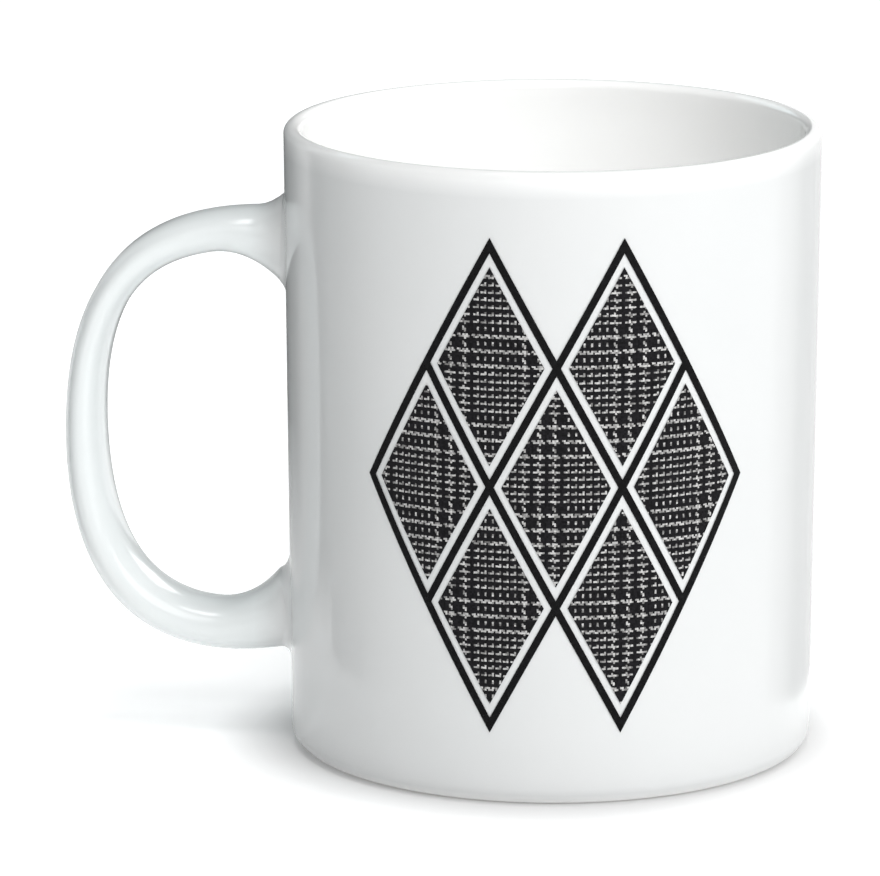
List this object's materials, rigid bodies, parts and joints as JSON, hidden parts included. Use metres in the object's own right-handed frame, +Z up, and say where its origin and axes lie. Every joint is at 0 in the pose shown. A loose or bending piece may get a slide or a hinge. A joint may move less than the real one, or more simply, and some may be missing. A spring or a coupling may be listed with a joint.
{
  "type": "coffee mug",
  "caption": "Straight-sided glazed ceramic mug with an ear handle, rounded lip, foot ring and a dark lozenge print, for hot drinks.",
  "frame": {"origin": "on the table under the middle of the whole mug, handle included", "axes": "+Z up through the mouth, -X towards the handle, -Y towards the print"},
  "size_m": [0.1164, 0.082, 0.0965],
  "materials": {
    "glazed_body": "white gloss glaze",
    "glazed_handle": "white gloss glaze",
    "glazed_slip": "white gloss glaze over slip",
    "ink_lines": "fired black ink under gloss",
    "ink_tweed": "fired dark tweed-pattern ink under gloss"
  },
  "bodies": {
    "root": {"mug_body": "glazed_body", "handle": "glazed_handle", "upper_handle_slip": "glazed_slip", "lower_handle_slip": "glazed_slip", "print_trellis": "ink_lines", "print_lozenge_1": "ink_tweed", "print_lozenge_2": "ink_tweed", "print_lozenge_3": "ink_tweed", "print_lozenge_4": "ink_tweed", "print_lozenge_5": "ink_tweed", "print_lozenge_6": "ink_tweed", "print_lozenge_7": "ink_tweed"}
  },
  "joints": []
}
